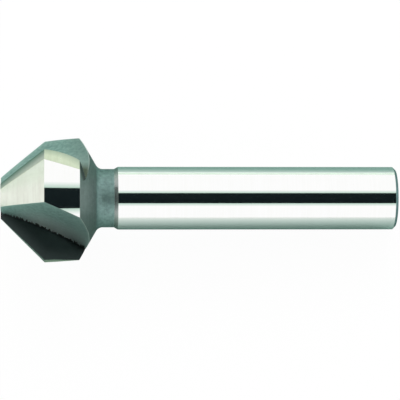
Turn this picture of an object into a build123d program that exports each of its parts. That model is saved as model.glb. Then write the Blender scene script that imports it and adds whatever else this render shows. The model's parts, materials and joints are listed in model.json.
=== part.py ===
from build123d import *
from math import atan, cos, radians, sin, tan
import os

# A three-flute 90 degree countersink bit with a plain round shank, ground from one bar of steel.
# Millimetres. The bit is drawn on its own axis, tip at z = 0 and shank towards +Z, and is then
# laid down the way it comes to rest on a bench, with the lowest points at z = 0.

# Turned outline
HEAD_DIA = 20.5
TIP_DIA = 6.6
POINT_ANGLE = 90.0
LAND_LENGTH = 5.5
BACK_TAPER = 4.0
BACK_CONE_ANGLE = 60.0
NECK_DIA = 9.3
NECK_LENGTH = 2.5
NECK_FILLET = 1.2
SHOULDER_ANGLE = 30.0
SHANK_DIA = 10.0
SHANK_CHAMFER = 0.45
OVERALL_LENGTH = 63.0

# Flutes. Each has a flat floor that climbs from the tip, and a rake face that stands on the floor
# along a gently curved root line. The root line is part of a circle drawn on the floor.
FLUTES = 3
TIP_WEB = 2.46
FLOOR_CLIMB = 18.5
ROOT_CURVE_RADIUS = 21.0
ROOT_CREST = 1.8
ROOT_BEHIND = 0.42
RAKE_SWEEP = 27.0
RAKE_HOOK = 5.5

# Margin, the narrow full-size strip behind each cutting edge, and how far the land backs off it.
# Its back is straight, and turned this far from the climb on the floor.
MARGIN_BEHIND = 1.65
MARGIN_TURN = 12.7
MARGIN_HEIGHT = 0.05

CUT = 40.0

shank_r = SHANK_DIA / 2
neck_r = NECK_DIA / 2
back_slope = tan(radians(BACK_CONE_ANGLE))
back_taper = tan(radians(BACK_TAPER))
corner_z = (HEAD_DIA - TIP_DIA) / 2 / tan(radians(POINT_ANGLE / 2))
land_end_z = corner_z + LAND_LENGTH
neck_start_z = land_end_z + (HEAD_DIA / 2 - LAND_LENGTH * back_taper - neck_r) / back_slope
neck_end_z = neck_start_z + NECK_LENGTH
shoulder_z = neck_end_z + (shank_r - neck_r) / tan(radians(SHOULDER_ANGLE))
rim_z = OVERALL_LENGTH - SHANK_CHAMFER


def turned_outline(back_off):
    """Corners of the bit's half outline, with cone and land this far inside full size."""
    land_end_r = HEAD_DIA / 2 - back_off - LAND_LENGTH * back_taper
    return [
        (0, 0),
        (TIP_DIA / 2 - back_off, 0),
        (HEAD_DIA / 2 - back_off, corner_z),
        (land_end_r, neck_start_z - (land_end_r - neck_r) / back_slope),
        (neck_r, neck_start_z),
        (neck_r, neck_end_z),
        (shank_r, shoulder_z),
        (shank_r, rim_z),
        (shank_r - SHANK_CHAMFER, OVERALL_LENGTH),
        (0, OVERALL_LENGTH),
    ]


# On a floor plane, x runs up the climb and y runs ahead of the cutting edge
climb = radians(FLOOR_CLIMB)
floor = Plane(
    origin=(0, TIP_WEB, 0),
    x_dir=(0, sin(climb), cos(climb)),
    z_dir=(0, cos(climb), -sin(climb)),
)
rise = Vector(-tan(radians(RAKE_HOOK)), 1, tan(radians(RAKE_SWEEP)))
root_centre = (ROOT_CREST, -ROOT_BEHIND - ROOT_CURVE_RADIUS)
turns = [360 / FLUTES * number for number in range(FLUTES)]

with BuildPart() as bit:
    with BuildSketch(Plane.XZ) as body:
        with BuildLine():
            Polyline(*turned_outline(MARGIN_HEIGHT), close=True)
        make_face()
        fillet(body.vertices().sort_by_distance((neck_r, neck_start_z))[0], NECK_FILLET)
    revolve(axis=Axis.Z)

    for turn in turns:
        with BuildSketch(Plane(Rotation(0, 0, turn) * floor.location)):
            with Locations(root_centre):
                Circle(ROOT_CURVE_RADIUS)
            with Locations(Location((0, -MARGIN_BEHIND), -MARGIN_TURN)):
                Rectangle(CUT * 2, CUT * 2, align=(Align.CENTER, Align.MAX), mode=Mode.SUBTRACT)
        extrude(amount=CUT, dir=rise.rotate(Axis.Z, turn))

    with BuildSketch(Plane.XZ) as full_size:
        with BuildLine():
            Polyline(*turned_outline(0), close=True)
        make_face()
        fillet(full_size.vertices().sort_by_distance((neck_r, neck_start_z))[0], NECK_FILLET)
    revolve(axis=Axis.Z, mode=Mode.INTERSECT)

    for turn in turns:
        with BuildSketch(Plane(Rotation(0, 0, turn) * floor.location)):
            with Locations((ROOT_CREST, 0)):
                Rectangle(CUT * 0.7, CUT * 1.5, align=(Align.CENTER, Align.CENTER))
            with Locations(root_centre):
                Circle(ROOT_CURVE_RADIUS, mode=Mode.SUBTRACT)
        extrude(amount=CUT, dir=rise.rotate(Axis.Z, turn), mode=Mode.SUBTRACT)

# Let go on a bench, the bit settles where its axis lies flattest: on two teeth and the shank's rim
head_points = []
for edge in bit.edges().filter_by_position(Axis.Z, 0, neck_start_z):
    head_points += [tuple(edge @ (step / 20)) for step in range(21)]


def lean(roll):
    """Slope of the axis with the side at this angle turned down to the bench."""
    return max((x * cos(roll) + y * sin(roll) - shank_r) / (rim_z - z) for x, y, z in head_points)


roll = min((radians(step / 20) for step in range(20 * 360 // FLUTES)), key=lean)
slope = atan(lean(roll))
side_down = Vector(cos(roll), sin(roll), 0)
bench = Plane(
    origin=(0, 0, 0),
    x_dir=Vector(0, 0, cos(slope)) - side_down * sin(slope),
    z_dir=Vector(0, 0, -sin(slope)) - side_down * cos(slope),
)
laid_down = bench.to_local_coords(bit.part)
box = laid_down.bounding_box()
laid_down = Pos(-box.center().X, -box.center().Y, -box.min.Z) * laid_down

with BuildPart() as countersink_bit:
    add(laid_down)

os.makedirs("parts", exist_ok=True)
countersink_bit.part.label = "countersink_bit"
export_step(countersink_bit.part, "parts/countersink_bit.step")
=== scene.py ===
import json
from math import cos, hypot, pi, radians, sin, tan

import bmesh
import bpy
from mathutils import Matrix, Vector


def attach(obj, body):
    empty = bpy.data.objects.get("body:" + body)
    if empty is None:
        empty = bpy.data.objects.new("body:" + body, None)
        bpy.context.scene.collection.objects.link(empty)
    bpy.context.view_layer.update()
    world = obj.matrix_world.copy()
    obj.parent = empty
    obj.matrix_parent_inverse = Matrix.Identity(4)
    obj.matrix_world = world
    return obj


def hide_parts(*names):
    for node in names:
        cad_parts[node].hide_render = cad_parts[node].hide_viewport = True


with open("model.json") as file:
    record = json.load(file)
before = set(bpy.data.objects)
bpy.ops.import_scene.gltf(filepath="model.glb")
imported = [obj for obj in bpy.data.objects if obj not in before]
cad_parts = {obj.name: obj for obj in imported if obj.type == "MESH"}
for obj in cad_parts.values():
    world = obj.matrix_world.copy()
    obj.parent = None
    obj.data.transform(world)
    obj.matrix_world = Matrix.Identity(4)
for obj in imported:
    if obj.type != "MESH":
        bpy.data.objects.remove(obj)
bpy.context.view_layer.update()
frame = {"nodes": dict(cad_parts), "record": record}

# A three-flute countersink bit at rest on a bench. The piece is a copy of the frame's own mesh.
# Each of its faces is matched to the ground surface that it belongs to, which gives the face its
# finish, its exact normals, the direction of its grinding lines and the places of its marks. The
# surfaces are in millimetres on the bit's own axes, tip at the origin and shank towards +Z.

# ------------------------------------------------------------------ the bit's sizes, in millimetres

MM = 0.001

HEAD_R = 10.25
TIP_R = 3.3
LAND_LENGTH = 5.5
BACK_TAPER = tan(radians(4.0))
BACK_SLANT = radians(60.0)
BACK_SLOPE = tan(BACK_SLANT)
NECK_R = 4.65
NECK_LENGTH = 2.5
NECK_FILLET = 1.2
SHOULDER_SLOPE = tan(radians(30.0))
SHANK_R = 5.0
SHANK_CHAMFER = 0.45
OVERALL_LENGTH = 63.0

CORNER_Z = HEAD_R - TIP_R
LAND_END_Z = CORNER_Z + LAND_LENGTH
LAND_END_R = HEAD_R - LAND_LENGTH * BACK_TAPER
NECK_START_Z = LAND_END_Z + (LAND_END_R - NECK_R) / BACK_SLOPE
NECK_END_Z = NECK_START_Z + NECK_LENGTH
SHOULDER_Z = NECK_END_Z + (SHANK_R - NECK_R) / SHOULDER_SLOPE
RIM_Z = OVERALL_LENGTH - SHANK_CHAMFER

FLUTES = 3
TIP_WEB = 2.46
FLOOR_CLIMB = radians(18.5)
ROOT_CURVE_RADIUS = 21.0
ROOT_CREST = 1.8
ROOT_BEHIND = 0.42
RAKE_SWEEP = radians(27.0)
RAKE_HOOK = radians(5.5)
MARGIN_BEHIND = 1.65
MARGIN_TURN = radians(12.7)
MARGIN_HEIGHT = 0.05

# ------------------------------------------------------------------ where the bit lies

# The side of the bit, as an angle about its axis, that is turned down to the bench
SIDE_DOWN = radians(69.65)


def bit_to_bench():
    """Matrix from the bit's own axes to where it lies, found from the middle of its shank."""
    shank = frame["record"]["mounts"][0]
    axis = Vector(shank["axis"]).normalized()
    tip = Vector(shank["pos_m"]) - axis * (SHOULDER_Z + RIM_Z) / 2 * MM
    across = Vector((0, 1, 0))
    down = axis.cross(across)
    if down.z > 0:
        down.negate()
    x_axis = cos(SIDE_DOWN) * down - sin(SIDE_DOWN) * across
    y_axis = sin(SIDE_DOWN) * down + cos(SIDE_DOWN) * across
    return Matrix.Translation(tip) @ Matrix((x_axis, y_axis, axis)).transposed().to_4x4()


LIE = bit_to_bench()

# ------------------------------------------------------------------ camera, bench and light

CAMERA_DISTANCE = 370.0
CAMERA_TILT = radians(3.4)
CAMERA_ROLL = radians(15.02)
LENS = 208.5
SENSOR_WIDTH = 36.0
NEAREST_SEEN = 0.01
FRAME_SHIFT = Vector((0.21, -0.29))


def look_from_above():
    """Set up a camera square to the bit, a little off the vertical and towards the tip. Gives the
    direction from the bit to the camera."""
    turn = SIDE_DOWN + pi + CAMERA_ROLL
    toward = Vector((cos(turn), sin(turn), 0))
    up = Vector((sin(turn), -cos(turn), 0))
    middle = Vector((0, 0, OVERALL_LENGTH / 2))
    eye = middle + CAMERA_DISTANCE * (cos(CAMERA_TILT) * toward - Vector((0, 0, sin(CAMERA_TILT))))
    aim = middle + Vector((0, 0, FRAME_SHIFT.x)) + FRAME_SHIFT.y * up
    eye, aim, up = LIE @ (eye * MM), LIE @ (aim * MM), LIE.to_3x3() @ up
    back = (eye - aim).normalized()
    right = up.cross(back).normalized()
    camera = bpy.data.objects.new("camera", bpy.data.cameras.new("camera"))
    camera.data.sensor_width = SENSOR_WIDTH
    camera.data.lens = LENS
    camera.data.clip_start = NEAREST_SEEN
    camera.matrix_world = (
        Matrix.Translation(eye) @ Matrix((right, back.cross(right), back)).transposed().to_4x4()
    )
    bpy.context.scene.collection.objects.link(camera)
    bpy.context.scene.camera = camera
    return (eye - aim).normalized()


def put(tree, kind, feeds=None, **settings):
    """Add a shader node. feeds gives each input, by name or number, a value or a socket."""
    made = tree.nodes.new(kind)
    for name, value in settings.items():
        setattr(made, name, value)
    for name, value in (feeds or {}).items():
        if isinstance(value, bpy.types.NodeSocket):
            tree.links.new(value, made.inputs[name])
        else:
            made.inputs[name].default_value = value
    return made


def maths(tree, operation, one, other):
    """The socket with the result of a sum on two values or sockets."""
    return put(tree, "ShaderNodeMath", {0: one, 1: other}, operation=operation).outputs[0]


def ramp(tree, value, start, end):
    """The value as 0 at start and 1 at end, held there beyond them."""
    feeds = {"Value": value, "From Min": start, "From Max": end}
    return put(tree, "ShaderNodeMapRange", feeds).outputs[0]


def new_material(name):
    """A material with nothing in its tree but the output node."""
    material = bpy.data.materials.new(name)
    material.use_nodes = True
    tree = material.node_tree
    tree.nodes.clear()
    return material, tree, put(tree, "ShaderNodeOutputMaterial")


def flat_plate(name, half_x, half_y, material):
    """A flat rectangle about its own origin, in metres, that only stages the picture."""
    mesh = bpy.data.meshes.new(name)
    signs = [(-1, -1), (1, -1), (1, 1), (-1, 1)]
    mesh.from_pydata([(x * half_x, y * half_y, 0) for x, y in signs], [], [(0, 1, 2, 3)])
    mesh.materials.append(material)
    plate = bpy.data.objects.new(name, mesh)
    bpy.context.scene.collection.objects.link(plate)
    return plate


WHITE = (1, 1, 1, 1)
BENCH_HALF_SIDE = 3.0
BENCH_WHITE = 0.96


def lay_bench():
    """A white bench. Looked at, or mirrored in the bit, it is white with a faint shadow."""
    material, tree, output = new_material("bench")
    ray = put(tree, "ShaderNodeLightPath").outputs
    seen = maths(tree, "MAXIMUM", ray["Is Camera Ray"], ray["Is Glossy Ray"])
    seen = maths(tree, "MAXIMUM", seen, ray["Is Transmission Ray"])
    shadow = put(tree, "ShaderNodeBsdfDiffuse", {"Color": WHITE})
    white = put(tree, "ShaderNodeEmission", {"Color": WHITE, "Strength": 1.0})
    share = maths(tree, "MULTIPLY", seen, BENCH_WHITE)
    both = put(tree, "ShaderNodeMixShader", {0: share, 1: shadow.outputs[0], 2: white.outputs[0]})
    tree.links.new(both.outputs[0], output.inputs["Surface"])
    flat_plate("bench", BENCH_HALF_SIDE, BENCH_HALF_SIDE, material)


MAT_LIFT = 0.00005
# Painted shade: the mat's colour next to the bit, the bit's shadow on the bench as its gloss sees
# it
MAT_PAINTED_SHADE = (0.215, 0.36, 0.31, 1)
MAT_FAR = (0.94, 0.96, 0.93, 1)
# Where the mat is greenest and darkest, in its deepest painted shade, and where it is palest, in
# millimetres from the bit's axis. Distances towards the back and the front count for less, by these
# shares.
MAT_SHADE_FADE = (5.0, 300.0)
MAT_BACK = 0.26
MAT_FRONT = 0.85


def lay_mat_with_painted_shade():
    """A mat on the bench that only the bit's gloss sees. Its colour is painted shade: dark green
    close to the bit, standing in for the bit's shadow on the bench, and paling outwards, evenly
    with each doubling of the distance and slower at the back."""
    material, tree, output = new_material("green mat with painted shade")
    where = put(tree, "ShaderNodeTexCoord").outputs["Object"]
    part = put(tree, "ShaderNodeSeparateXYZ", {0: where}).outputs
    sideways = maths(tree, "ABSOLUTE", part["X"], 0.0)
    beyond = maths(tree, "SUBTRACT", sideways, OVERALL_LENGTH / 2 * MM)
    back = maths(tree, "MULTIPLY", part["Y"], MAT_BACK)
    front = maths(tree, "MULTIPLY", part["Y"], -MAT_FRONT)
    offset = put(
        tree, "ShaderNodeCombineXYZ",
        {"X": maths(tree, "MAXIMUM", beyond, 0.0), "Y": maths(tree, "MAXIMUM", back, front)},
    )
    away = put(tree, "ShaderNodeVectorMath", {0: offset.outputs[0]}, operation="LENGTH")
    near, far = MAT_SHADE_FADE
    times = maths(tree, "MAXIMUM", maths(tree, "DIVIDE", away.outputs["Value"], near * MM), 1.0)
    fade = ramp(tree, maths(tree, "LOGARITHM", times, far / near), 0.0, 1.0)
    colour = put(tree, "ShaderNodeMix", {0: fade, 6: MAT_PAINTED_SHADE, 7: MAT_FAR}, data_type="RGBA")
    green = put(tree, "ShaderNodeBsdfDiffuse", {"Color": colour.outputs[2]})
    tree.links.new(green.outputs[0], output.inputs["Surface"])
    mat = flat_plate("green_mat_painted_shade", BENCH_HALF_SIDE, BENCH_HALF_SIDE, material)
    mat.location.z = MAT_LIFT
    mat.visible_camera = mat.visible_diffuse = mat.visible_shadow = False


BOARD_HALF_LENGTH = 2.0
BOARD_DISTANCE = 0.45
BOARD_HEIGHT = 0.10
BOARD_GREEN = (0.60, 0.78, 0.62, 1)


def stand_board():
    """A low green board at the back of the bench, which fades out towards its top. The camera
    doesn't see it."""
    material, tree, output = new_material("green board")
    where = put(tree, "ShaderNodeTexCoord").outputs["Object"]
    part = put(tree, "ShaderNodeSeparateXYZ", {0: where}).outputs
    fade = ramp(tree, part["Y"], -BOARD_HEIGHT / 2, BOARD_HEIGHT / 2)
    green = put(tree, "ShaderNodeBsdfDiffuse", {"Color": BOARD_GREEN})
    clear = put(tree, "ShaderNodeBsdfTransparent", {"Color": WHITE})
    both = put(tree, "ShaderNodeMixShader", {0: fade, 1: green.outputs[0], 2: clear.outputs[0]})
    tree.links.new(both.outputs[0], output.inputs["Surface"])
    board = flat_plate("green_board", BOARD_HALF_LENGTH, BOARD_HEIGHT / 2, material)
    board.location = (0, BOARD_DISTANCE, BOARD_HEIGHT / 2)
    board.rotation_euler = (pi / 2, 0, 0)
    board.visible_camera = False


SOFTBOX_PLACE = Vector((0.05, 0.55, 0.36))
SOFTBOX_SIZE = 0.5
SOFTBOX_POWER = 3.0


def light_room():
    """An even white room, and one soft lamp that lays the bit's shadow to its near side. The lamp
    isn't mirrored in the bit."""
    world = bpy.data.worlds.new("white room")
    world.use_nodes = True
    sky = world.node_tree.nodes["Background"]
    sky.inputs["Color"].default_value = WHITE
    sky.inputs["Strength"].default_value = 1.0
    bpy.context.scene.world = world
    bpy.context.scene.view_settings.view_transform = "Standard"
    lamp = bpy.data.lights.new("softbox", "AREA")
    lamp.size = SOFTBOX_SIZE
    lamp.energy = SOFTBOX_POWER
    softbox = bpy.data.objects.new("softbox", lamp)
    softbox.location = SOFTBOX_PLACE
    softbox.rotation_euler = SOFTBOX_PLACE.to_track_quat("Z", "Y").to_euler()
    softbox.visible_glossy = False
    bpy.context.scene.collection.objects.link(softbox)


CARD_DISTANCE = 0.60
CARD_DARK = CARD_DISTANCE * tan(radians(18.6))
CARD_HALF_WIDTH = CARD_DISTANCE * tan(radians(30.0))
CARD_HALF_LENGTH = CARD_DISTANCE * tan(radians(37.0))
CARD_BLACK = (0.006, 0.010, 0.011, 1)
CARD_BORDER = (0.50, 0.68, 0.58, 1)


def hang_dark_card(toward_camera):
    """A dark card over the bit, between it and the camera, which the camera doesn't see but the bit
    mirrors. Its sides end in soft borders, which let more light through further out."""
    material, tree, output = new_material("dark card")
    where = put(tree, "ShaderNodeTexCoord").outputs["Object"]
    part = put(tree, "ShaderNodeSeparateXYZ", {0: where}).outputs
    aside = maths(tree, "ABSOLUTE", part["Y"], 0.0)
    fade = ramp(tree, aside, CARD_DARK, CARD_HALF_WIDTH)
    clear = put(tree, "ShaderNodeMix", {0: fade, 6: CARD_BORDER, 7: WHITE}, data_type="RGBA")
    black = put(tree, "ShaderNodeBsdfDiffuse", {"Color": CARD_BLACK})
    border = put(tree, "ShaderNodeBsdfTransparent", {"Color": clear.outputs[2]})
    past = maths(tree, "GREATER_THAN", aside, CARD_DARK)
    both = put(tree, "ShaderNodeMixShader", {0: past, 1: black.outputs[0], 2: border.outputs[0]})
    tree.links.new(both.outputs[0], output.inputs["Surface"])
    card = flat_plate("dark_card", CARD_HALF_LENGTH, CARD_HALF_WIDTH, material)
    along = LIE.to_3x3() @ Vector((0, 0, 1))
    facing = (toward_camera - toward_camera.dot(along) * along).normalized()
    place = LIE @ Vector((0, 0, OVERALL_LENGTH / 2 * MM)) + facing * CARD_DISTANCE
    basis = Matrix((along, facing.cross(along), facing)).transposed()
    card.matrix_world = Matrix.Translation(place) @ basis.to_4x4()
    card.visible_camera = False


hang_dark_card(look_from_above())
lay_bench()
lay_mat_with_painted_shade()
stand_board()
light_room()

# ------------------------------------------------------------------ the ground surfaces

# Each kind of surface tells, for a point in millimetres:
#   off(p)     how far the point lies from it
#   normal(p)  its outward normal there
#   lay(p)     the point as (along the grinding lines, along them again, across them)
#   near(p)    how far the point lies from the flute's root or the cutting edge, how far in from the
#              full-size outline, and how far along the bit
# marked says whether its faces carry marks, painted light and painted shade among them, and so
# have to be small.

# A distance from the cutting edge that no mark reaches
BEYOND_MARKS = 2.0


class Turned:
    """A surface of revolution between two (radius, height) corners, its outside on the right."""

    marked = False

    def __init__(self, finish, start, end):
        self.finish, self.start = finish, Vector(start)
        step = Vector(end) - self.start
        self.length, self.run = step.length, step.normalized()
        self.out = Vector((self.run.y, -self.run.x))

    def off(self, p):
        here = Vector((hypot(p.x, p.y), p.z)) - self.start
        along = here.dot(self.run)
        return abs(here.dot(self.out)) + max(0.0, -along, along - self.length)

    def normal(self, p):
        spoke = Vector((p.x, p.y)).normalized() * self.out.x
        return Vector((spoke.x, spoke.y, self.out.y))

    def lay(self, p):
        here = Vector((hypot(p.x, p.y), p.z)) - self.start
        return Vector((p.x, p.y, here.dot(self.run)))

    def near(self, p):
        return Vector((0, 0, p.z))


class Margin(Turned):
    """A turned surface with marks that keep to the part behind a cutting edge."""

    marked = True

    def near(self, p):
        near_flutes = [f for f in FLUTE_FRAMES if f.local(p).z > 0]
        behind = min((-ahead_of_root(f.foot(p)) for f in near_flutes), default=HEAD_R)
        return Vector((behind, 0, p.z))


class Hollow:
    """The rounded corner between the back cone and the neck."""

    marked = False

    def __init__(self, finish, radius, centre):
        self.finish, self.radius, self.centre = finish, radius, Vector(centre)

    def inward(self, p):
        return self.centre - Vector((hypot(p.x, p.y), p.z))

    def off(self, p):
        return abs(self.inward(p).length - self.radius)

    def normal(self, p):
        towards = self.inward(p).normalized()
        spoke = Vector((p.x, p.y)).normalized() * towards.x
        return Vector((spoke.x, spoke.y, towards.y))

    def lay(self, p):
        return Vector((p.x, p.y, p.z))

    def near(self, p):
        return Vector((0, 0, p.z))


class FluteFrame:
    """A flute's floor plane: x runs up the climb, y ahead of the cutting edge, z off the floor."""

    def __init__(self, turn):
        up = Vector((0, sin(FLOOR_CLIMB), cos(FLOOR_CLIMB)))
        out = Vector((0, cos(FLOOR_CLIMB), -sin(FLOOR_CLIMB)))
        spin = Matrix.Rotation(turn, 3, "Z")
        self.to_bit = spin @ Matrix((up, out.cross(up), out)).transposed()
        self.origin = spin @ Vector((0, TIP_WEB, 0))
        rise = Vector((-tan(RAKE_HOOK), 1, tan(RAKE_SWEEP)))
        self.rise = self.to_bit.transposed() @ (spin @ rise)

    def local(self, p):
        return self.to_bit.transposed() @ (p - self.origin)

    def foot(self, p):
        """Where a line from the point, parallel to the rake, meets the floor."""
        here = self.local(p)
        return (here - self.rise * (here.z / self.rise.z)).xy


ROOT_CENTRE = Vector((ROOT_CREST, -ROOT_BEHIND - ROOT_CURVE_RADIUS))


def ahead_of_root(spot):
    """How far a spot on the floor plane lies ahead of the root line."""
    return (spot - ROOT_CENTRE).length - ROOT_CURVE_RADIUS


def inside_outline(p):
    """How far a point of a flute lies in from the cone, the land or the back cone."""
    radius = hypot(p.x, p.y)
    full = min(TIP_R + p.z, HEAD_R, NECK_R + (NECK_START_Z - p.z) * BACK_SLOPE)
    return max(0.0, full - radius)


class FluteFace:
    """A face that a flute leaves in the bit."""

    marked = True

    def __init__(self, finish, flute):
        self.finish, self.flute = finish, flute

    def lay(self, p):
        here = self.flute.local(p)
        return Vector((here.x, here.x, here.z))


class Floor(FluteFace):
    """The flat floor of a flute."""

    def off(self, p):
        return abs(self.flute.local(p).z)

    def normal(self, p):
        return self.flute.to_bit.col[2].copy()

    def lay(self, p):
        here = self.flute.local(p)
        return Vector((here.x, here.x, here.y))

    def near(self, p):
        return Vector((ahead_of_root(self.flute.local(p).xy), inside_outline(p), p.z))


class Rake(FluteFace):
    """The face that rises from a flute's curved root to its cutting edge."""

    def off(self, p):
        return abs(ahead_of_root(self.flute.foot(p)))

    def normal(self, p):
        spoke = self.flute.foot(p) - ROOT_CENTRE
        along = Vector((-spoke.y, spoke.x, 0))
        return self.flute.to_bit @ -self.flute.rise.cross(along).normalized()

    def near(self, p):
        return Vector((self.flute.local(p).z, inside_outline(p), p.z))


class MarginBack(FluteFace):
    """The low straight step down from the margin to the land."""

    marked = False
    ahead = Vector((sin(MARGIN_TURN), cos(MARGIN_TURN)))
    along = Vector((cos(MARGIN_TURN), -sin(MARGIN_TURN), 0))

    def off(self, p):
        return abs((self.flute.foot(p) + Vector((0, MARGIN_BEHIND))).dot(self.ahead))

    def normal(self, p):
        return self.flute.to_bit @ -self.flute.rise.cross(self.along).normalized()

    def near(self, p):
        return Vector((BEYOND_MARKS, 0, p.z))


def turned_surfaces():
    """Every turned surface of the bit, from the tip to the end of the shank."""
    inset = MARGIN_HEIGHT
    back_start = NECK_START_Z - (LAND_END_R - inset - NECK_R) / BACK_SLOPE
    reach = NECK_FILLET * tan(BACK_SLANT / 2)
    centre = (NECK_R + NECK_FILLET, NECK_START_Z + reach)
    return [
        Turned("nose", (0, 0), (TIP_R, 0)),
        Margin("cone margin", (TIP_R, 0), (HEAD_R, CORNER_Z)),
        Turned("cone land", (TIP_R - inset, 0), (HEAD_R - inset, CORNER_Z)),
        Margin("margin", (HEAD_R, CORNER_Z), (LAND_END_R, LAND_END_Z)),
        Turned("land", (HEAD_R - inset, CORNER_Z), (LAND_END_R - inset, back_start)),
        Margin("back cone", (LAND_END_R, LAND_END_Z), (NECK_R, NECK_START_Z)),
        Hollow("neck", NECK_FILLET, centre),
        Turned("neck", (NECK_R, NECK_START_Z), (NECK_R, NECK_END_Z)),
        Turned("shoulder", (NECK_R, NECK_END_Z), (SHANK_R, SHOULDER_Z)),
        Turned("shank", (SHANK_R, SHOULDER_Z), (SHANK_R, RIM_Z)),
        Turned("chamfer", (SHANK_R, RIM_Z), (SHANK_R - SHANK_CHAMFER, OVERALL_LENGTH)),
        Turned("chamfer", (SHANK_R - SHANK_CHAMFER, OVERALL_LENGTH), (0, OVERALL_LENGTH)),
    ]


# The one flute whose floor is darker where its root runs out
DARK_RUNOUT_FLUTE = 1

FLUTE_FRAMES = [FluteFrame(2 * pi / FLUTES * number) for number in range(FLUTES)]
SURFACES = turned_surfaces()
for number, flute in enumerate(FLUTE_FRAMES):
    floor = "burnt flute floor" if number == DARK_RUNOUT_FLUTE else "flute floor"
    SURFACES += [Floor(floor, flute), Rake("rake", flute), MarginBack("margin", flute)]

# ------------------------------------------------------------------ finishes

# How many broad streaks there are to each fine line
STREAKS_PER_LINE = 0.3

# The noise values that count as none and as all of a line, a patch or a tooth
LINE_SPREAD = (0.3, 0.7)
PATCH_SPREAD = (0.33, 0.67)
TEETH_SPREAD = (0.35, 0.65)

# How well the rounded normal agrees with the true one where the wear and its painted glint
# start, and where they are full
WEAR_AGREEMENT = (0.995, 0.90)

# How far from an edge the wear and its painted glint reach, in millimetres
WEAR_REACH = 0.12


def new_group(name, inputs, outputs):
    """An empty node group with named value sockets, and its input and output nodes."""
    tree = bpy.data.node_groups.new(name, "ShaderNodeTree")
    for label, value in inputs.items():
        socket = tree.interface.new_socket(label, in_out="INPUT", socket_type="NodeSocketFloat")
        socket.default_value = value
    for label in outputs:
        tree.interface.new_socket(label, in_out="OUTPUT", socket_type="NodeSocketFloat")
    return tree, put(tree, "NodeGroupInput"), put(tree, "NodeGroupOutput")


def build_grinding():
    """Scratches that follow the wheel: broad streaks, and fine lines laid over them."""
    tree, given, result = new_group(
        "grinding lines", {"Lines per mm": 5.0, "Line length mm": 8.0}, ["Streaks", "Lines"]
    )
    lay = put(tree, "ShaderNodeAttribute", attribute_name="lay").outputs["Vector"]
    along = maths(tree, "DIVIDE", 1.0, given.outputs["Line length mm"])
    for label, share in (("Streaks", STREAKS_PER_LINE), ("Lines", 1.0)):
        across = maths(tree, "MULTIPLY", given.outputs["Lines per mm"], share)
        scale = put(tree, "ShaderNodeCombineXYZ", {"X": along, "Y": along, "Z": across})
        place = put(
            tree, "ShaderNodeVectorMath", {0: lay, 1: scale.outputs[0]}, operation="MULTIPLY"
        )
        noise = put(
            tree, "ShaderNodeTexNoise",
            {"Vector": place.outputs[0], "Scale": 1.0, "Detail": 3.0, "Roughness": 0.6},
        )
        tree.links.new(ramp(tree, noise.outputs["Fac"], *LINE_SPREAD), result.inputs[label])
    return tree


def build_mottling():
    """Cloudy patches, as handling and oil leave on ground steel."""
    tree, given, result = new_group("mottling", {"Patch size mm": 1.0}, ["Patches"])
    where = put(tree, "ShaderNodeTexCoord").outputs["Object"]
    scale = maths(tree, "DIVIDE", 1 / MM, given.outputs["Patch size mm"])
    noise = put(
        tree, "ShaderNodeTexNoise",
        {"Vector": where, "Scale": scale, "Detail": 4.0, "Roughness": 0.6},
    )
    tree.links.new(ramp(tree, noise.outputs["Fac"], *PATCH_SPREAD), result.inputs["Patches"])
    return tree


def build_edge_wear_and_glint():
    """Where an edge is near enough to be rubbed bright and to catch a rounded edge's glint: partly
    real wear, partly a painted highlight.
    """
    tree, given, result = new_group("edge wear and glint", {"Reach mm": 0.1}, ["Wear"])
    reach = maths(tree, "MULTIPLY", given.outputs["Reach mm"], MM)
    rounded = put(tree, "ShaderNodeBevel", {"Radius": reach}, samples=6)
    plain = put(tree, "ShaderNodeNewGeometry")
    match = put(
        tree, "ShaderNodeVectorMath",
        {0: rounded.outputs[0], 1: plain.outputs["Normal"]}, operation="DOT_PRODUCT",
    )
    worn = ramp(tree, match.outputs["Value"], *WEAR_AGREEMENT)
    tree.links.new(worn, result.inputs["Wear"])
    return tree


# The ragged painted shade at the root is torn into teeth, strokes away from the root: the noise
# behind them changes slowly that way and fast along the bit. Their tips are blurred by this much.
TEETH_STROKES = (0.5, 0.5, 4.5)
TEETH_BLUR = 0.03

# Where marks fade in and out, in millimetres along the bit, from the tip or from the land's end.
# The painted light near the root fades in from the tip.
ROOT_LIGHT_FADE_IN = (2.0, 6.5)
RUNOUT_FADE_IN = (-0.4, 0.2)
RUNOUT_FADE_OUT = (2.0, 1.1)

# Where the Rear mark starts and is full, as shares of its width behind the land's end
REAR_FADE_IN = (-1.0, 0.5)

# The share of its width at which the dark patch where the root runs out has its full strength
RUNOUT_FULL = 0.5

MARK_NAMES = ("Rim", "Painted root light", "Teeth", "Runout", "Rear", "Edge")


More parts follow.
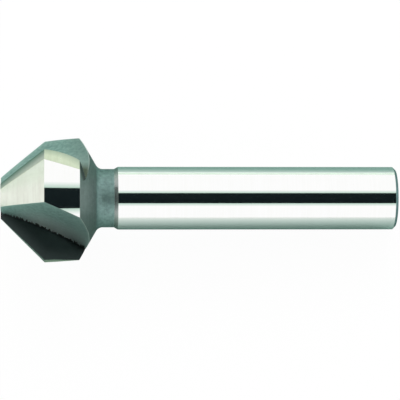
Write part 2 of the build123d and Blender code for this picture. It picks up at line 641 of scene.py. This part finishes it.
def build_marks_and_painted_light():
    """Where a face is marked, each mark as a share from 0 to 1: near the Rim of a flute, in the
    painted light near its root, in the ragged painted shade right at the root, in the dark patch
    where the root runs out, towards the Rear of the head, and near the cutting Edge. Each mark has
    its width in millimetres."""
    widths = {mark + " mm": 1.0 for mark in MARK_NAMES}
    tree, given, result = new_group("flute marks and painted light", widths, MARK_NAMES)
    near = put(tree, "ShaderNodeAttribute", attribute_name="near").outputs["Vector"]
    part = put(tree, "ShaderNodeSeparateXYZ", {0: near}).outputs

    def within(value, mark):
        """1 where the value is 0, down to 0 where it reaches the mark's width."""
        widths_passed = maths(tree, "DIVIDE", value, given.outputs[mark + " mm"])
        return ramp(tree, widths_passed, 1.0, 0.0)

    strokes = put(
        tree, "ShaderNodeVectorMath", {0: near, 1: TEETH_STROKES}, operation="MULTIPLY"
    )
    noise = put(
        tree, "ShaderNodeTexNoise",
        {"Vector": strokes.outputs[0], "Scale": 1.0, "Detail": 1.0, "Roughness": 0.6},
    )
    bite = ramp(tree, noise.outputs["Fac"], *TEETH_SPREAD)
    bitten = maths(tree, "MULTIPLY", bite, given.outputs["Teeth mm"])
    inside_tooth = maths(tree, "SUBTRACT", bitten, part["X"])

    past_tip = ramp(tree, part["Z"], *ROOT_LIGHT_FADE_IN)
    behind = maths(tree, "SUBTRACT", part["Z"], LAND_END_Z)
    fade_in, fade_out = ramp(tree, behind, *RUNOUT_FADE_IN), ramp(tree, behind, *RUNOUT_FADE_OUT)
    late = maths(tree, "MULTIPLY", fade_in, fade_out)
    darkened = ramp(tree, within(part["X"], "Runout"), 0.0, RUNOUT_FULL)
    rear_widths = maths(tree, "DIVIDE", behind, given.outputs["Rear mm"])

    shares = {
        "Rim": within(part["Y"], "Rim"),
        "Painted root light": maths(tree, "MULTIPLY", within(part["X"], "Painted root light"), past_tip),
        "Teeth": ramp(tree, inside_tooth, -TEETH_BLUR, TEETH_BLUR),
        "Runout": maths(tree, "MULTIPLY", darkened, late),
        "Rear": ramp(tree, rear_widths, *REAR_FADE_IN),
        "Edge": within(part["X"], "Edge"),
    }
    for mark, share in shares.items():
        tree.links.new(share, result.inputs[mark])
    return tree


GRINDING = build_grinding()
MOTTLING = build_mottling()
EDGE_WEAR_AND_GLINT = build_edge_wear_and_glint()
MARKS_AND_PAINTED_LIGHT = build_marks_and_painted_light()

# The colour of rubbed edges: partly wear, partly a painted highlight
RUBBED_BRIGHT_AND_GLINT = (0.80, 0.84, 0.80)


def steel(
    name, bright, stained, roughness, rougher=0.08, lines_per_mm=5.0, line_length=8.0, lines=0.5,
    patch=0.8, patches=0.3, depth=0.003, wear=0.5, marks=(),
):
    """Ground steel. Lines and patches lean its colour from bright to stained by their shares, and
    its roughness up by rougher. Lengths are in millimetres. Each mark is its name, its width, its
    colour and how strong it is, and later marks lie over earlier ones. Some marks are painted
    light, some painted shade."""
    material, tree, output = new_material(name)

    def placed(group, **values):
        """The outputs of a group node with these inputs."""
        made = put(tree, "ShaderNodeGroup", node_tree=group)
        for label, value in values.items():
            made.inputs[label.replace("_", " ")].default_value = value
        return made.outputs

    def tinted(share, start, end):
        """The start colour, turned into the end colour by the share."""
        colours = {0: share, 6: start, 7: (*end, 1)}
        return put(tree, "ShaderNodeMix", colours, data_type="RGBA").outputs[2]

    grinding = placed(GRINDING, Lines_per_mm=lines_per_mm, Line_length_mm=line_length)
    mottling = placed(MOTTLING, Patch_size_mm=patch)
    both = maths(tree, "ADD", grinding["Streaks"], grinding["Lines"])
    lined = maths(tree, "MULTIPLY", both, lines / 2)
    patched = maths(tree, "MULTIPLY", mottling["Patches"], patches)
    stain = maths(tree, "ADD", lined, patched)
    colour = tinted(stain, (*bright, 1), stained)
    for mark, width, tint, strength in marks:
        share = placed(MARKS_AND_PAINTED_LIGHT, **{mark + "_mm": width})[mark]
        colour = tinted(maths(tree, "MULTIPLY", share, strength), colour, tint)
    if wear:
        # Edges are rubbed bright: partly wear, partly a painted highlight
        edges = placed(EDGE_WEAR_AND_GLINT, Reach_mm=WEAR_REACH)
        colour = tinted(maths(tree, "MULTIPLY", edges["Wear"], wear), colour, RUBBED_BRIGHT_AND_GLINT)
    rough = maths(tree, "ADD", maths(tree, "MULTIPLY", stain, rougher), roughness)
    bump = put(
        tree, "ShaderNodeBump",
        {"Height": grinding["Lines"], "Strength": 1.0, "Distance": depth * MM},
    )
    shader = put(
        tree, "ShaderNodeBsdfPrincipled",
        {"Metallic": 1.0, "Base Color": colour, "Roughness": rough, "Normal": bump.outputs[0]},
    )
    tree.links.new(shader.outputs[0], output.inputs["Surface"])
    return material


FINISHES = {
    "nose": dict(bright=(0.50, 0.58, 0.55), stained=(0.3, 0.36, 0.34), roughness=0.35),
    "cone margin": dict(
        bright=(0.58, 0.62, 0.55), stained=(0.44, 0.47, 0.42), roughness=0.28, wear=0,
        marks=[("Edge", 1.6, (0.12, 0.23, 0.18), 1.0)],
    ),
    "cone land": dict(
        bright=(0.87, 0.91, 0.82), stained=(0.68, 0.68, 0.60), roughness=0.20, lines_per_mm=4,
        line_length=9, patch=1.5, patches=0.2, depth=0.002,
    ),
    "margin": dict(
        bright=(0.74, 0.84, 0.64), stained=(0.56, 0.64, 0.46), roughness=0.26, lines_per_mm=6,
        line_length=4, lines=0.6, patches=0.2, wear=0,
        marks=[("Edge", 1.2, (0.40, 0.50, 0.38), 0.9)],
    ),
    "land": dict(
        bright=(0.99, 0.99, 0.99), stained=(0.92, 0.93, 0.88), roughness=0.05, rougher=0.03,
        line_length=12, lines=0.3, patch=2.0, patches=0.1, depth=0.0006, wear=0.2,
    ),
    "back cone": dict(
        bright=(0.25, 0.33, 0.31), stained=(0.17, 0.22, 0.21), roughness=0.45, line_length=12,
        patches=0.4, marks=[("Runout", 1.5, (0.07, 0.085, 0.08), 0.9)],
    ),
    "neck": dict(
        bright=(0.30, 0.46, 0.43), stained=(0.17, 0.26, 0.25), roughness=0.50, lines_per_mm=4,
        lines=0.4, patch=0.5, patches=0.6,
    ),
    "shoulder": dict(bright=(0.44, 0.48, 0.46), stained=(0.30, 0.34, 0.33), roughness=0.22),
    "shank": dict(
        bright=(0.99, 0.99, 0.99), stained=(0.92, 0.93, 0.90), roughness=0.045, rougher=0.03,
        line_length=14, lines=0.3, patch=2.5, patches=0.12, depth=0.0005, wear=0.2,
    ),
    "chamfer": dict(bright=(0.20, 0.33, 0.34), stained=(0.13, 0.21, 0.22), roughness=0.3),
    "flute floor": dict(
        bright=(0.41, 0.60, 0.56), stained=(0.24, 0.38, 0.35), roughness=0.42, lines_per_mm=3.5,
        line_length=6, lines=0.5, patch=0.5, patches=0.7, wear=0,
        marks=[
            ("Rim", 0.9, (0.44, 0.62, 0.58), 0.6),
            # Painted light: near its root the floor is lightened, against the shade that the dark
            # rake throws into it by reflection.
            ("Painted root light", 6.0, (0.80, 0.95, 0.90), 0.9),
            ("Rear", 3.0, (0.20, 0.28, 0.26), 0.7),
            # A painted highlight with some edge wear: a thin bright line along the flute's outline,
            # the glint of its small edge chamfer.
            ("Rim", 0.20, (0.80, 0.90, 0.85), 0.9),
            # Painted shade: dark teeth along the root, where the floor meets the dark rake, ragged
            # like the grinding marks.
            ("Teeth", 0.9, (0.07, 0.09, 0.08), 1.0),
        ],
    ),
    # Painted shade: the rake's near-black colours stand in for the shaded bench under the bit that
    # the rake mirrors. Its Rim mark makes it a little lighter towards the outline.
    "rake": dict(
        bright=(0.036, 0.048, 0.048), stained=(0.026, 0.035, 0.035), roughness=0.5,
        lines_per_mm=3.5, line_length=6, lines=0.4, wear=0,
        marks=[("Rim", 2.5, (0.065, 0.082, 0.08), 0.8)],
    ),
}

RUNOUT_DARK = ("Runout", 3.8, (0.08, 0.095, 0.055), 0.9)
PLAIN_FLOOR = FINISHES["flute floor"]
FINISHES["burnt flute floor"] = dict(PLAIN_FLOOR, marks=PLAIN_FLOOR["marks"] + [RUNOUT_DARK])

# ------------------------------------------------------------------ the bit

# Corners closer than this, in metres, are one
WELD_DISTANCE = 1e-6

# A face that stands square to a surface's normal counts as this many millimetres off the surface
FACING_WEIGHT = 0.05

LONGEST_MARKED_EDGE = 0.9
SPLITTING_ROUNDS = 5


def match_surfaces(build, to_bit):
    """Keep with every face, as its material number, which of the surfaces it belongs to."""
    turn = to_bit.to_3x3()
    for face in build.faces:
        points = [to_bit @ vertex.co / MM for vertex in face.verts]
        centre = sum(points, Vector()) / len(points)
        facing = turn @ face.normal
        misfits = [
            max(s.off(p) for p in points) + FACING_WEIGHT * (1 - s.normal(centre).dot(facing))
            for s in SURFACES
        ]
        face.material_index = misfits.index(min(misfits))


def split_marked_faces(build):
    """Split the long edges of the faces that carry marks, since the marks are placed by the faces'
    corners. The number of rounds is fixed, so a sliver that stays long can't hold the script up."""
    for _ in range(SPLITTING_ROUNDS):
        marked = [f for f in build.faces if SURFACES[f.material_index].marked]
        edges = {e for f in marked for e in f.edges if e.calc_length() > LONGEST_MARKED_EDGE * MM}
        bmesh.ops.subdivide_edges(build, edges=list(edges), cuts=1)
        bmesh.ops.triangulate(build, faces=[f for f in build.faces if len(f.verts) > 3])


def make_bit():
    """The bit as one mesh, every face with its own surface's finish, normals, lay and marks."""
    node = frame["nodes"]["countersink_bit"]
    to_bit = LIE.inverted()
    build = bmesh.new()
    build.from_mesh(node.data)
    build.transform(node.matrix_world)
    bmesh.ops.remove_doubles(build, verts=build.verts, dist=WELD_DISTANCE)
    match_surfaces(build, to_bit)
    split_marked_faces(build)
    mesh = bpy.data.meshes.new("countersink_bit_ground")
    build.to_mesh(mesh)
    build.free()
    names = list(FINISHES)
    for name in names:
        mesh.materials.append(steel(name, **FINISHES[name]))
    normals = [None] * len(mesh.loops)
    lay = mesh.attributes.new("lay", "FLOAT_VECTOR", "CORNER")
    near = mesh.attributes.new("near", "FLOAT_VECTOR", "CORNER")
    for face in mesh.polygons:
        surface = SURFACES[face.material_index]
        face.material_index = names.index(surface.finish)
        for loop, vertex in zip(face.loop_indices, face.vertices):
            point = to_bit @ mesh.vertices[vertex].co / MM
            normals[loop] = LIE.to_3x3() @ surface.normal(point)
            lay.data[loop].vector = surface.lay(point)
            near.data[loop].vector = surface.near(point)
    mesh.shade_smooth()
    mesh.normals_split_custom_set(normals)
    piece = bpy.data.objects.new("countersink_bit_ground", mesh)
    bpy.context.scene.collection.objects.link(piece)
    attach(piece, "root")
    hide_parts("countersink_bit")


make_bit()
